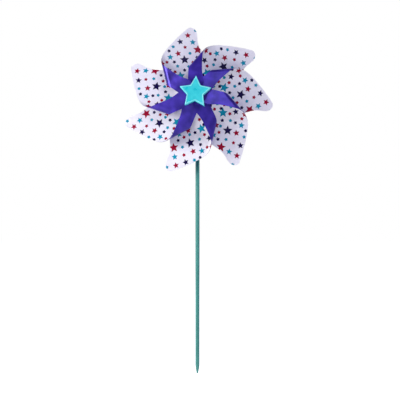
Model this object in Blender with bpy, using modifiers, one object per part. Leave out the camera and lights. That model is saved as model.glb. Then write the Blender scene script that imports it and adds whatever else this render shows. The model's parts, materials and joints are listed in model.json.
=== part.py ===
"""Garden pinwheel: seven curled film vanes round a star-capped hub that spins on a nail.

World frame: the stick stands on Z with its blunt stake tip at the origin. The wheel turns about an
axis along Y and its star faces -Y. Run with: blender --background --python part.py
"""

import math

import bmesh
import bpy
from mathutils import Quaternion, Vector

MM = 0.001
GAP = 0.3 * MM  # between pieces that touch

# Stick
STICK_DIAMETER = 5.5 * MM
STAKE_TIP_DIAMETER = 2.0 * MM
STAKE_TAPER = 10.0 * MM
STICK_ABOVE_AXLE = 8.0 * MM
STICK_CORNER = 0.8 * MM  # chamfer round the top

# Wheel axis
AXLE_HEIGHT = 364.0 * MM
ROOT_FROM_STICK = 22.0 * MM  # from the stick's centre forward to the middle of the rear film stack

# Axle nail
NAIL_DIAMETER = 1.8 * MM
NAIL_BORE = 2.4 * MM  # through the stick and every piece that the nail passes
NAIL_HEAD_DIAMETER = 5.0 * MM
NAIL_HEAD_THICKNESS = 0.8 * MM
NAIL_HEAD_EDGE = 0.5 * MM  # height and width of the slope round the head
NAIL_POINT = 1.0 * MM  # length of the blunted end
NAIL_POINT_DIAMETER = 0.7 * MM
NAIL_TAIL = 2.2 * MM  # how far it comes out behind the stick
CAP_DIAMETER = 6.0 * MM
CAP_LENGTH = 3.4 * MM
CAP_CHAMFER = 1.0 * MM

# Hub
CORE_DIAMETER = 6.0 * MM
CORE_BORE = 2.6 * MM
EYE_DIAMETER = 6.6 * MM  # the holes that slip over the core
FLANGE_DIAMETER = 16.0 * MM
FLANGE_THICKNESS = 1.6 * MM
BOSS_DIAMETER = 9.0 * MM
BOSS_END_DIAMETER = 7.2 * MM
BOSS_STEP = 1.0 * MM  # slope between the flange and the boss
CORE_IN_STAR = 2.0 * MM  # how far the core stands into the star
SPACER_DIAMETER = 6.0 * MM
SPACER_LENGTH = 5.0 * MM
SLEEVE_DIAMETER = 9.0 * MM
WASHER_DIAMETER = 17.0 * MM
WASHER_THICKNESS = 1.2 * MM
HEAD_WASHER_DIAMETER = 5.6 * MM
HEAD_WASHER_THICKNESS = 0.5 * MM

# Star cap
STAR_RADIUS = 21.0 * MM
STAR_NOTCH = 0.52  # of the radius
STAR_TURN = math.radians(3.0)
STAR_BEVEL = 1.2 * MM
STAR_FACE = 1.4 * MM  # solid thickness in front of the recess

# Vanes
VANE_COUNT = 7
VANE_REACH = 102.5 * MM  # hub to tip; the flat outline is drawn in parts of this
FILM = 0.35 * MM
EYE_PITCH = FILM + 0.4 * MM  # between the eyes of one vane and the next along the hub
FIRST_VANE = math.radians(95.5)
# How far each vane has crept round the hub from an even spacing, in degrees.
VANE_CREEP = (-0.6, -3.5, 3.2, 0.6, -2.0, -1.2, 4.0)
EYE_RADIUS = 7.2 * MM  # of the film round each eye
NECK_START = 8.5 * MM  # the neck bends between these distances from the eye
NECK_END = 15.0 * MM
ROOT_NECK = math.radians(27.0)
CORNER_NECK = math.radians(-47.0)
NECK_BENDS = 4

# Fold of a vane: the film wraps a narrow cone between its rear part and its flap.
FOLD_DIRECTION = math.radians(9.7)  # of the middle of the fold, from the line to the tip
FOLD_DISTANCE = 40.0 * MM  # of that line from the rear eye, on the flat film
FOLD_APEX = 400.0 * MM  # the cone's point lies this far behind the foot of that distance
FOLD_RADIUS = 7.0 * MM  # at the foot
FOLD_TURN = math.radians(155.0)
FOLD_STRIPS = 10
SWEEP = math.radians(7.0)  # the tips lean back
PITCH = math.radians(10.0)  # the folded side stands forward

ROUND = 32  # segments of a turned piece
OVERRUN = 2.0 * MM  # how far a cutter stands out of what it cuts
ON_LINE = 0.0001 * MM  # a point this close to a bend line is on it
MERGE = 0.01 * MM  # points of a turned profile this close to the axis are on it


def clear_scene():
    """Remove every object, so that the script can be run again in the same file."""
    for obj in list(bpy.data.objects):
        bpy.data.objects.remove(obj, do_unlink=True)


def new_collection(name, rendered=True):
    """Link a new collection; one that isn't rendered holds cutters."""
    collection = bpy.data.collections.new(name)
    bpy.context.scene.collection.children.link(collection)
    collection.hide_render = not rendered
    return collection


def material(name, colour, roughness, metallic=0.0):
    """Principled material from a linear colour."""
    made = bpy.data.materials.new(name)
    made.use_nodes = True
    shader = made.node_tree.nodes["Principled BSDF"]
    shader.inputs["Base Color"].default_value = (*colour, 1.0)
    shader.inputs["Roughness"].default_value = roughness
    shader.inputs["Metallic"].default_value = metallic
    return made


def place(name, mesh, collection, finish=None, parent=None):
    """Link a mesh as a named object, with its material and parent."""
    obj = bpy.data.objects.new(name, mesh)
    collection.objects.link(obj)
    obj.parent = parent
    if finish:
        mesh.materials.append(finish)
    return obj


def cutter(name, radius, start, end, collection, parent=None):
    """Cylinder along local Z from start to end, used only to cut."""
    bm = bmesh.new()
    size = {"radius1": radius, "radius2": radius, "depth": end - start}
    bmesh.ops.create_cone(bm, cap_ends=True, segments=ROUND, **size)
    bmesh.ops.translate(bm, verts=bm.verts, vec=(0.0, 0.0, (start + end) / 2))
    mesh = bpy.data.meshes.new(name)
    bm.to_mesh(mesh)
    bm.free()
    obj = place(name, mesh, collection, parent=parent)
    obj.hide_render = True
    obj.display_type = "WIRE"
    return obj


def cut(obj, tool):
    """Take the tool's shape away from the object."""
    boolean = obj.modifiers.new("cut_" + tool.name, "BOOLEAN")
    boolean.operation = "DIFFERENCE"
    boolean.solver = "EXACT"
    boolean.object = tool


def turned(name, profile, collection, finish, parent=None):
    """Turn a profile of (radius, height) points, top to bottom, about local Z."""
    bm = bmesh.new()
    points = [bm.verts.new((radius, 0.0, height)) for radius, height in profile]
    for first, second in zip(points, points[1:]):
        bm.edges.new((first, second))
    mesh = bpy.data.meshes.new(name)
    bm.to_mesh(mesh)
    bm.free()
    obj = place(name, mesh, collection, finish, parent)
    screw = obj.modifiers.new("turn", "SCREW")
    screw.axis = "Z"
    screw.steps = ROUND
    screw.render_steps = ROUND
    screw.use_merge_vertices = True
    screw.merge_threshold = MERGE
    screw.use_smooth_shade = True
    return obj


def ring(name, outer, inner, start, end, collection, finish, parent):
    """A washer or tube between two heights: a closed profile turned about local Z."""
    inside, outside = inner / 2, outer / 2
    profile = [(inside, end), (outside, end), (outside, start), (inside, start), (inside, end)]
    return turned(name, profile, collection, finish, parent)


def cubic(first, first_handle, second_handle, second, steps=6):
    """Points along a cubic curve, without its first one."""
    points = []
    for step in range(1, steps + 1):
        t = step / steps
        weights = ((1 - t) ** 3, 3 * (1 - t) ** 2 * t, 3 * (1 - t) * t**2, t**3)
        corners = (first, first_handle, second_handle, second)
        parts = [Vector(corner) * weight for corner, weight in zip(corners, weights)]
        points.append(sum(parts, Vector((0.0, 0.0))))
    return points


def polar_point(radius, degrees):
    turn = math.radians(degrees)
    return Vector((radius * math.cos(turn), radius * math.sin(turn)))


def arc(centre, radius, start, end, steps):
    """Points round part of a circle, without its first one; angles in degrees."""
    turns = [start + (end - start) * step / steps for step in range(1, steps + 1)]
    return [Vector(centre) + polar_point(radius, turn) for turn in turns]


class Fold:
    """Carries points of the flat film onto the curled vane, without stretching it.

    Flat frame: the rear eye at the origin, the tip on +X, the flap's side on +Y. Wheel frame: the same
    X and Y, with Z along the axle to the front.
    """

    def __init__(self):
        along = Vector((math.cos(FOLD_DIRECTION), math.sin(FOLD_DIRECTION)))
        across = Vector((-along.y, along.x))
        self.along, self.across = along, across
        self.apex = along * -FOLD_APEX + across * FOLD_DISTANCE
        self.half = FOLD_RADIUS * FOLD_TURN / 2 / FOLD_APEX
        tip_way = Vector((math.cos(SWEEP), 0.0, -math.sin(SWEEP)))
        rise = math.sin(PITCH)
        side_way = Vector((math.sin(SWEEP) * rise, math.cos(PITCH), math.cos(SWEEP) * rise))
        front = tip_way.cross(side_way).normalized()
        side_way = front.cross(tip_way)
        self.rear = (tip_way, side_way)
        start, cross_start = self.flat_ruling(-self.half)
        self.start = self.rear_vector(start)
        self.cross_start = self.rear_vector(cross_start)
        turn = FOLD_TURN / (2 * self.half)
        self.axis = (turn * self.start + front).normalized()
        self.rate = math.sqrt(1 + turn**2)
        whole = Quaternion(self.axis, self.rate * 2 * self.half)
        self.end = whole @ self.start
        self.cross_end = whole @ self.cross_start
        self.apex_place = self.rear_vector(self.apex)
        self.corner, self.corner_height = self.find_corner()

    def flat_ruling(self, angle):
        """Unit vectors along and across the apex line at an angle to the fold's middle."""
        direction = self.along * math.cos(angle) + self.across * math.sin(angle)
        return direction, Vector((-direction.y, direction.x))

    def rear_vector(self, flat):
        return self.rear[0] * flat.x + self.rear[1] * flat.y

    def polar(self, flat):
        out = flat - self.apex
        return out.length, math.atan2(out.dot(self.across), out.dot(self.along))

    def curled(self, flat):
        """Where a flat point lies on the curled vane before its eyes are stacked."""
        distance, angle = self.polar(flat)
        turned_by = angle + self.half
        if angle < -self.half:
            direction = self.start * math.cos(turned_by) + self.cross_start * math.sin(turned_by)
        elif angle > self.half:
            past = angle - self.half
            direction = self.end * math.cos(past) + self.cross_end * math.sin(past)
        else:
            direction = Quaternion(self.axis, self.rate * turned_by) @ self.start
        return self.apex_place + distance * direction

    def find_corner(self):
        """The flat point whose curled place is on the axle: the front eye, and its height."""
        a, b = self.end, self.cross_end
        place_x, place_y = -self.apex_place.x, -self.apex_place.y
        span = a.x * b.y - b.x * a.y
        first = (place_x * b.y - b.x * place_y) / span
        second = (a.x * place_y - place_x * a.y) / span
        distance, angle = math.hypot(first, second), math.atan2(second, first) + self.half
        direction, _ = self.flat_ruling(angle)
        height = (self.apex_place + first * a + second * b).z
        return self.apex + direction * distance, height

    def flap_vector(self, flat):
        """A flat vector carried onto the flap's plane."""
        along, across = self.flat_ruling(self.half)
        return self.end * flat.dot(along) + self.cross_end * flat.dot(across)

    def placed(self, flat, root_height, corner_height):
        """The curled place, with each neck bent so that its eye lies square to the axle."""
        where = self.curled(flat)
        if self.polar(flat)[1] < 0:
            level = Vector((flat.x, flat.y, root_height))
            return level.lerp(where, neck_share(flat))
        offset = flat - self.corner
        normal = self.end.cross(self.cross_end)
        to_level = normal.rotation_difference(Vector((0.0, 0.0, math.copysign(1.0, normal.z))))
        level = to_level @ self.flap_vector(offset) + Vector((0.0, 0.0, corner_height))
        return level.lerp(where, neck_share(offset))


def neck_share(offset):
    """0 on the film round an eye, 1 past the neck, smooth between them."""
    share = min(max((offset.length - NECK_START) / (NECK_END - NECK_START), 0.0), 1.0)
    return share * share * (3 - 2 * share)


def vane_outline(corner):
    """The flat outline of one vane, counter-clockwise from the tip, in metres."""
    eye = EYE_RADIUS / VANE_REACH
    corner = corner / VANE_REACH
    points = [Vector((0.985, 0.045))]

    def curve(first_handle, second_handle, end, steps=6):
        points.extend(cubic(points[-1], first_handle, second_handle, end, steps))

    # Leading edge out of the tip, round the fold and along the flap, to the neck of the front eye
    curve((0.93, 0.115), (0.76, 0.305), (0.64, 0.385))
    curve((0.565, 0.435), (0.465, 0.465), (0.38, 0.505))
    curve((0.28, 0.55), corner + Vector((0.19, -0.08)), corner + Vector((0.108, -0.063)))
    eye_edge = corner + polar_point(eye, 1)
    curve(corner + Vector((0.085, -0.05)), corner + Vector((0.070, -0.018)), eye_edge, 3)
    points.extend(arc(corner, eye, 1, 265, 14))
    # Slit edge from the front eye's neck, round the end of the fold, to the rear eye's neck
    slit_end = corner + Vector((0.055, -0.112))
    curve(corner + Vector((0.012, -0.073)), corner + Vector((0.042, -0.088)), slit_end, 3)
    curve(corner + Vector((0.075, -0.165)), (0.02, 0.54), (0.15, 0.437))
    curve((0.21, 0.39), (0.14, 0.19), (0.090, 0.087))
    curve((0.070, 0.062), (0.040, 0.064), polar_point(eye, 75), 3)
    points.extend(arc((0, 0), eye, 75, 339, 14))
    # Trailing edge, hidden behind the next vane, then hooked towards the tip
    curve((0.073, -0.005), (0.09, 0.019), (0.123, 0.022), 3)
    curve((0.17, 0.025), (0.24, -0.10), (0.42, -0.17))
    curve((0.56, -0.21), (0.67, -0.08), (0.80, -0.075))
    curve((0.90, -0.075), (0.93, -0.085), (0.965, -0.055), 3)
    curve((1.0, -0.03), (1.01, 0.01), (0.985, 0.045), 5)
    return [point * VANE_REACH for point in points[:-1]]


def bend_lines(fold):
    """Point and direction of each line that the film bends along, on the flat sheet."""
    lines = []
    for step in range(FOLD_STRIPS + 1):
        angle = fold.half * (2 * step / FOLD_STRIPS - 1)
        lines.append((fold.apex, fold.flat_ruling(angle)[0]))
    for eye, bearing in ((Vector((0.0, 0.0)), ROOT_NECK), (fold.corner, CORNER_NECK)):
        direction = Vector((math.cos(bearing), math.sin(bearing)))
        for step in range(NECK_BENDS + 1):
            reach = NECK_START + (NECK_END - NECK_START) * step / NECK_BENDS
            lines.append((eye + direction * reach, Vector((-direction.y, direction.x))))
    return lines


def vane(number, fold, bore, collection, finish, parent):
    """One film vane: flat outline, cut along its bend lines, curled, thickened and bored."""
    bm = bmesh.new()
    bm.faces.new([bm.verts.new((*point, 0.0)) for point in vane_outline(fold.corner)])
    for point, direction in bend_lines(fold):
        everything = bm.verts[:] + bm.edges[:] + bm.faces[:]
        normal = (-direction.y, direction.x, 0.0)
        bmesh.ops.bisect_plane(bm, geom=everything, dist=ON_LINE,
                               plane_co=(*point, 0.0), plane_no=normal)
    bmesh.ops.triangulate(bm, faces=bm.faces)
    middle = (VANE_COUNT - 1) / 2
    root_height = (number - middle) * EYE_PITCH
    corner_height = fold.corner_height - root_height
    for vert in bm.verts:
        vert.co = fold.placed(vert.co.xy, root_height, corner_height)
    bmesh.ops.recalc_face_normals(bm, faces=bm.faces)
    name = f"vane_{number + 1}"
    mesh = bpy.data.meshes.new(name)
    bm.to_mesh(mesh)
    bm.free()
    obj = place(name, mesh, collection, finish, parent)
    step = math.tau / VANE_COUNT
    obj.rotation_euler.z = FIRST_VANE - number * step + math.radians(VANE_CREEP[number])
    solid = obj.modifiers.new("film", "SOLIDIFY")
    solid.thickness = FILM
    solid.offset = 0.0
    solid.use_even_offset = True
    cut(obj, bore)
    return obj


def star_cap(back, front, recess, collection, finish, parent):
    """Five-pointed cap with a bevelled rim, recessed behind for the nail's head."""
    bm = bmesh.new()
    corners = []
    for step in range(10):
        radius = STAR_RADIUS * (1.0 if step % 2 == 0 else STAR_NOTCH)
        angle = math.pi / 2 - STAR_TURN - step * math.pi / 5
        corners.append(bm.verts.new((radius * math.cos(angle), radius * math.sin(angle), back)))
    bm.faces.new(corners)
    made = bmesh.ops.extrude_face_region(bm, geom=bm.faces[:])
    lifted = [item for item in made["geom"] if isinstance(item, bmesh.types.BMVert)]
    bmesh.ops.translate(bm, verts=lifted, vec=(0.0, 0.0, front - back))
    bmesh.ops.recalc_face_normals(bm, faces=bm.faces)
    rim = [edge for edge in bm.edges if all(vert in lifted for vert in edge.verts)]
    bmesh.ops.bevel(bm, geom=rim, offset=STAR_BEVEL, segments=2, profile=0.6, affect="EDGES")
    mesh = bpy.data.meshes.new("star_cap")
    bm.to_mesh(mesh)
    bm.free()
    obj = place("star_cap", mesh, collection, finish, parent)
    cut(obj, recess)
    return obj


def build():
    clear_scene()
    parts = new_collection("pinwheel")
    cutters = new_collection("cutters", rendered=False)

    teal = material("painted_stick", (0.10, 0.36, 0.33), 0.45)
    steel = material("nail_steel", (0.62, 0.62, 0.60), 0.30, 1.0)
    film = material("printed_film", (0.80, 0.78, 0.90), 0.40)
    violet = material("hub_plastic", (0.10, 0.05, 0.35), 0.40)
    turquoise = material("star_plastic", (0.03, 0.62, 0.70), 0.35)
    clear = material("natural_plastic", (0.85, 0.85, 0.82), 0.45)

    # Wheel frame: local X to the right, local Y up, local Z along the axle towards the front.
    axle = bpy.data.objects.new("wheel_axle", None)
    parts.objects.link(axle)
    axle.location = (0.0, -ROOT_FROM_STICK, AXLE_HEIGHT)
    axle.rotation_euler = (math.pi / 2, 0.0, 0.0)

    fold = Fold()
    stack = (VANE_COUNT - 1) / 2 * EYE_PITCH + FILM / 2
    front_eye = fold.corner_height
    stick_front = -ROOT_FROM_STICK + STICK_DIAMETER / 2
    stick_back = -ROOT_FROM_STICK - STICK_DIAMETER / 2

    # Heights along the axle, from the stick forward
    spacer_back = stick_front + GAP
    boss_back = spacer_back + SPACER_LENGTH + GAP
    flange_front = -stack - GAP
    sleeve_back = stack + GAP
    sleeve_front = front_eye - stack - GAP
    washer_back = front_eye + stack + GAP
    washer_front = washer_back + WASHER_THICKNESS
    star_back = washer_front + GAP
    core_front = star_back + CORE_IN_STAR
    head_washer_back = core_front + GAP
    head_back = head_washer_back + HEAD_WASHER_THICKNESS + GAP
    head_front = head_back + NAIL_HEAD_THICKNESS
    recess_end = head_front + GAP
    star_front = recess_end + STAR_FACE
    tail_end = stick_back - NAIL_TAIL

    # Cutters
    bore_back, bore_front = stick_back - OVERRUN, stick_front + OVERRUN
    stick_bore = cutter("stick_bore", NAIL_BORE / 2, bore_back, bore_front, cutters, axle)
    film_bore = cutter("film_bore", EYE_DIAMETER / 2, flange_front, washer_back, cutters, axle)
    recess = cutter("star_recess", EYE_DIAMETER / 2, star_back - OVERRUN, recess_end, cutters, axle)

    # Stick
    top = AXLE_HEIGHT + STICK_ABOVE_AXLE
    radius = STICK_DIAMETER / 2
    stick = turned(
        "stick",
        [
            (0.0, top),
            (radius - STICK_CORNER, top),
            (radius, top - STICK_CORNER),
            (radius, STAKE_TAPER),
            (STAKE_TIP_DIAMETER / 2, 0.0),
            (0.0, 0.0),
        ],
        parts,
        teal,
    )
    cut(stick, stick_bore)

    # Nail, with its head inside the star and its tail in a push-on cap
    nail = NAIL_DIAMETER / 2
    head = NAIL_HEAD_DIAMETER / 2
    turned(
        "axle_nail",
        [(0.0, head_front), (head - NAIL_HEAD_EDGE, head_front), (head, head_front - NAIL_HEAD_EDGE),
         (head, head_back), (nail, head_back), (nail, tail_end + NAIL_POINT),
         (NAIL_POINT_DIAMETER / 2, tail_end), (0.0, tail_end)],
        parts, steel, axle,
    )
    cap_front = stick_back - GAP
    cap_back = cap_front - CAP_LENGTH
    cap = CAP_DIAMETER / 2
    cap_floor = tail_end - GAP
    tail_cap = turned(
        "tail_cap",
        [(0.0, cap_front), (cap, cap_front), (cap, cap_back + CAP_CHAMFER),
         (cap - CAP_CHAMFER, cap_back), (0.0, cap_back)],
        parts, clear, axle,
    )
    cut(tail_cap, cutter("tail_bore", NAIL_BORE / 2, cap_floor, cap_front + OVERRUN, cutters, axle))

    # Hub pieces
    spacer_front = spacer_back + SPACER_LENGTH
    ring("rear_spacer", SPACER_DIAMETER, NAIL_BORE, spacer_back, spacer_front, parts, clear, axle)
    bore = CORE_BORE / 2
    core = CORE_DIAMETER / 2
    flange = FLANGE_DIAMETER / 2
    flange_back = flange_front - FLANGE_THICKNESS
    turned(
        "hub_core",
        [(bore, core_front), (core, core_front), (core, flange_front), (flange, flange_front),
         (flange, flange_back), (BOSS_DIAMETER / 2, flange_back - BOSS_STEP),
         (BOSS_END_DIAMETER / 2, boss_back), (bore, boss_back), (bore, core_front)],
        parts, violet, axle,
    )
    ring("hub_sleeve", SLEEVE_DIAMETER, EYE_DIAMETER, sleeve_back, sleeve_front,
         parts, violet, axle)
    ring("front_washer", WASHER_DIAMETER, EYE_DIAMETER, washer_back, washer_front,
         parts, violet, axle)
    ring("head_washer", HEAD_WASHER_DIAMETER, NAIL_BORE, head_washer_back,
         head_washer_back + HEAD_WASHER_THICKNESS, parts, steel, axle)
    star_cap(star_back, star_front, recess, parts, turquoise, axle)

    # Vanes
    for number in range(VANE_COUNT):
        vane(number, fold, film_bore, parts, film, axle)


build()
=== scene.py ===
"""Garden pinwheel: seven curled, star-printed film vanes round a star-capped hub on a painted dowel.

World frame, in metres: the dowel stands on Z with its stake tip at the origin, and the wheel faces -Y.
Wheel frame: X to the right, Y up, Z along the axle towards the front, with its origin at the middle of
the rear stack of vane eyes. Flat frame of a vane: the rear eye at the origin and the tip on +X.
"""

import json
import logging
import math
from dataclasses import dataclass, field
from enum import Enum

import bmesh
import bpy
from mathutils import Matrix, Quaternion, Vector
from mathutils.geometry import delaunay_2d_cdt

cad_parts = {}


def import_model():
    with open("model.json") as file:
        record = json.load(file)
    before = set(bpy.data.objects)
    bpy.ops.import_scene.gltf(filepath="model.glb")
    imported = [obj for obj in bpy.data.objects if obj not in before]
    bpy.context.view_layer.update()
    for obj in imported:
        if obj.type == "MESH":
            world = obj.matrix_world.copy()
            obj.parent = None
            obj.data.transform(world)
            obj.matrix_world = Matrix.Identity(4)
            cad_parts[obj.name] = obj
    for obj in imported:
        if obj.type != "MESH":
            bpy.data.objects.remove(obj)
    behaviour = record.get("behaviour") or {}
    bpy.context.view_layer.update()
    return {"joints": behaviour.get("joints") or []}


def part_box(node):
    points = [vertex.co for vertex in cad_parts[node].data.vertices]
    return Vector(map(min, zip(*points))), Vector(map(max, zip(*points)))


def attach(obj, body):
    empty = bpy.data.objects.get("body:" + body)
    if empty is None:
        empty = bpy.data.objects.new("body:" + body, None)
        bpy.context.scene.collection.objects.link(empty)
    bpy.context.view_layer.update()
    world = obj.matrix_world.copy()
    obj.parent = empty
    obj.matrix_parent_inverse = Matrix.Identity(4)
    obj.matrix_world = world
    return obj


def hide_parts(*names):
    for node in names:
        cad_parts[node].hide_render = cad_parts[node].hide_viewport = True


LOG = logging.getLogger("pinwheel")
MM = 0.001
TINY = 1e-7  # two points that are closer than this are one
NOISE_LOW, NOISE_HIGH = 0.3, 0.7  # nearly all of a noise pattern lies between these
SEE_INTO_RADIUS = (1.0, 1.0, 1.0)  # light of every colour goes equally deep into natural plastic
WHOLE_HULL = 0  # the triangulation's mode that fills everything, so that each triangle tells its loops
WHITE = "#FFFFFF"
VANE_COUNT = 7
FILM = 0.35 * MM
EYE_PITCH = 0.75 * MM  # from one vane's eye to the next along the hub


# ---------------------------------------------------------------- colour and nodes


def linear(code: str) -> tuple[float, float, float, float]:
    """Turn an sRGB hex colour into linear light.

    Args:
        code: colour such as "#4E9A93".

    Returns:
        Red, green, blue and an alpha of 1.
    """
    channels = [int(code[start:start + 2], 16) / 255 for start in (1, 3, 5)]
    # The curve of the sRGB standard
    red, green, blue = (c / 12.92 if c <= 0.04045 else ((c + 0.055) / 1.055) ** 2.4 for c in channels)
    return red, green, blue, 1.0


def set_inputs(node: bpy.types.Node, inputs: dict) -> None:
    """Give a node's inputs their values and links.

    Args:
        node: the node.
        inputs: value, or output socket to link, for each input by name or number.
    """
    for name, value in inputs.items():
        if isinstance(value, bpy.types.NodeSocket):
            node.id_data.links.new(value, node.inputs[name])
        else:
            node.inputs[name].default_value = value


def add_node(tree: bpy.types.NodeTree, kind: str, settings: dict | None = None,
             inputs: dict | None = None) -> bpy.types.Node:
    """Add one node with its settings, values and links.

    Args:
        tree: node tree that takes it.
        kind: Blender's type name of the node.
        settings: attributes of the node.
        inputs: value, or output socket to link, for each input by name or number.

    Returns:
        The new node.
    """
    made = tree.nodes.new(kind)
    for name, value in (settings or {}).items():
        setattr(made, name, value)
    set_inputs(made, inputs or {})
    return made


class Coat:
    """A material in the making: its tint, its gloss and its relief follow patterns of a real size."""

    def __init__(self, name: str) -> None:
        """Start the material.

        Args:
            name: the real material and how its surface was made.
        """
        self.material = bpy.data.materials.new(name)
        self.material.use_nodes = True
        self.tree = self.material.node_tree
        self.shader = self.tree.nodes["Principled BSDF"]

    def pattern(self, across: float, along: float, detail: float,
                low: float = 0.0, high: float = 1.0) -> bpy.types.NodeSocket:
        """Lay out soft noise that is fixed to the piece.

        Args:
            across: size of a feature in X and Y, in metres.
            along: size of a feature in Z, in metres.
            detail: octaves of finer noise.
            low: value in the noise's dark parts.
            high: value in its bright parts.

        Returns:
            The value.
        """
        place = add_node(self.tree, "ShaderNodeTexCoord")
        scaled = add_node(self.tree, "ShaderNodeVectorMath", {"operation": "MULTIPLY"},
                          {0: place.outputs["Object"], 1: (1 / across, 1 / across, 1 / along)})
        grey = add_node(self.tree, "ShaderNodeTexNoise", None,
                        {"Vector": scaled.outputs[0], "Scale": 1.0, "Detail": detail})
        mapped = add_node(self.tree, "ShaderNodeMapRange", None,
                          {"Value": grey.outputs["Fac"], "From Min": NOISE_LOW, "From Max": NOISE_HIGH,
                           "To Min": low, "To Max": high})
        return mapped.outputs["Result"]

    def blend(self, pattern: bpy.types.NodeSocket, factor: float,
              offset: bpy.types.NodeSocket | float) -> bpy.types.NodeSocket:
        """Scale a pattern and add it to another one or to a number.

        Args:
            pattern: the pattern.
            factor: what it is multiplied by.
            offset: what is added to it.

        Returns:
            The sum.
        """
        return add_node(self.tree, "ShaderNodeMath", {"operation": "MULTIPLY_ADD"},
                        {0: pattern, 1: factor, 2: offset}).outputs[0]

    def tint(self, share: bpy.types.NodeSocket, first: str, second: str) -> None:
        """Let the colour run between two hex colours.

        Args:
            share: 0 for the first colour, 1 for the second.
            first: hex colour.
            second: hex colour.
        """
        mix = add_node(self.tree, "ShaderNodeMix", {"data_type": "RGBA"},
                       {"Factor": share, 6: linear(first), 7: linear(second)})
        set_inputs(self.shader, {"Base Color": mix.outputs[2]})

    def emboss(self, height: bpy.types.NodeSocket, depth: float) -> None:
        """Give the surface a relief.

        Args:
            height: pattern between 0 and 1.
            depth: how deep the pattern is at 1, in metres.
        """
        relief = add_node(self.tree, "ShaderNodeBump", None,
                          {"Height": height, "Strength": 1.0, "Distance": depth})
        set_inputs(self.shader, {"Normal": relief.outputs["Normal"]})


# ---------------------------------------------------------------- finishes


@dataclass(frozen=True)
class PrintedInk:
    """Screen-printed ink on calendered PVC film: an even satin colour, a little thin where the mesh lay."""

    name: str
    thin: str
    full: str
    roughness: float = 0.42
    gloss: float = 0.12
    ior: float = 1.53
    mottle: float = 3.0 * MM
    waviness: float = 14.0 * MM
    wave_depth: float = 0.10 * MM

    def make(self) -> bpy.types.Material:
        """Make the ink.

        Returns:
            Its material.
        """
        coat = Coat(self.name)
        coat.tint(coat.pattern(self.mottle, self.mottle, detail=2.0), self.thin, self.full)
        coat.emboss(coat.pattern(self.waviness, self.waviness, detail=1.0), self.wave_depth)
        set_inputs(coat.shader, {"Roughness": self.roughness, "IOR": self.ior,
                                 "Specular IOR Level": self.gloss})
        return coat.material


@dataclass(frozen=True)
class PearlVinyl:
    """Pearl-pigmented PVC film, calendered: its flakes give soft highlights that are violet, not white."""

    name: str = "pearl violet PVC film, calendered"
    deep: str = "#22117A"
    bright: str = "#5039C4"
    roughness_low: float = 0.30
    roughness_high: float = 0.42
    metallic: float = 0.45
    ior: float = 1.53
    cloud: float = 18.0 * MM
    waviness: float = 12.0 * MM
    wave_depth: float = 0.25 * MM

    def make(self) -> bpy.types.Material:
        """Make the film.

        Returns:
            Its material.
        """
        coat = Coat(self.name)
        coat.tint(coat.pattern(self.cloud, self.cloud, detail=3.0), self.deep, self.bright)
        coat.emboss(coat.pattern(self.waviness, self.waviness, detail=1.0), self.wave_depth)
        gloss = coat.pattern(self.cloud, self.cloud, 3.0, self.roughness_low, self.roughness_high)
        set_inputs(coat.shader, {"Roughness": gloss, "Metallic": self.metallic, "IOR": self.ior})
        return coat.material


@dataclass(frozen=True)
class MouldedPlastic:
    """Injection-moulded plastic: an even colour with faint flow marks and a fine spark-eroded texture."""

    name: str
    deep: str
    bright: str
    roughness_low: float
    roughness_high: float
    ior: float = 1.50
    flow: float = 7.0 * MM
    grit: float = 0.35 * MM  # drawn coarser than the real 0.05 mm, which is too fine to show
    grit_depth: float = 0.01 * MM
    see_into: float = 0.0

    def make(self) -> bpy.types.Material:
        """Make the plastic.

        Returns:
            Its material.
        """
        coat = Coat(self.name)
        coat.tint(coat.pattern(self.flow, self.flow, detail=2.0), self.deep, self.bright)
        coat.emboss(coat.pattern(self.grit, self.grit, detail=1.0), self.grit_depth)
        gloss = coat.pattern(self.flow, self.flow, 4.0, self.roughness_low, self.roughness_high)
        set_inputs(coat.shader, {"Roughness": gloss, "IOR": self.ior})
        if self.see_into:
            set_inputs(coat.shader, {"Subsurface Weight": self.see_into, "Subsurface Scale": MM,
                                     "Subsurface Radius": SEE_INTO_RADIUS})
        return coat.material


@dataclass(frozen=True)
class PaintedBirch:
    """Birch dowel, dip-painted: satin paint with the long wood fibres still telling through it."""

    name: str = "birch dowel, dip-painted teal"
    thin: str = "#3F8C82"
    full: str = "#57A99D"
    fibre: float = 0.7 * MM
    fibre_length: float = 28.0 * MM
    fibre_depth: float = 0.05 * MM
    fibre_share: float = 0.5
    cloud: float = 4.0 * MM
    cloud_length: float = 45.0 * MM
    cloud_share: float = 0.5
    roughness: float = 0.52
    fibre_gloss: float = 0.12
    ior: float = 1.50

    def make(self) -> bpy.types.Material:
        """Make the painted wood.

        Returns:
            Its material.
        """
        coat = Coat(self.name)
        fibres = coat.pattern(self.fibre, self.fibre_length, detail=3.0)
        clouds = coat.pattern(self.cloud, self.cloud_length, detail=2.0)
        share = coat.blend(clouds, self.cloud_share, coat.blend(fibres, self.fibre_share, 0.0))
        coat.tint(share, self.thin, self.full)
        coat.emboss(fibres, self.fibre_depth)
        gloss = coat.blend(fibres, -self.fibre_gloss, self.roughness)
        set_inputs(coat.shader, {"Roughness": gloss, "IOR": self.ior})
        return coat.material


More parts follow.
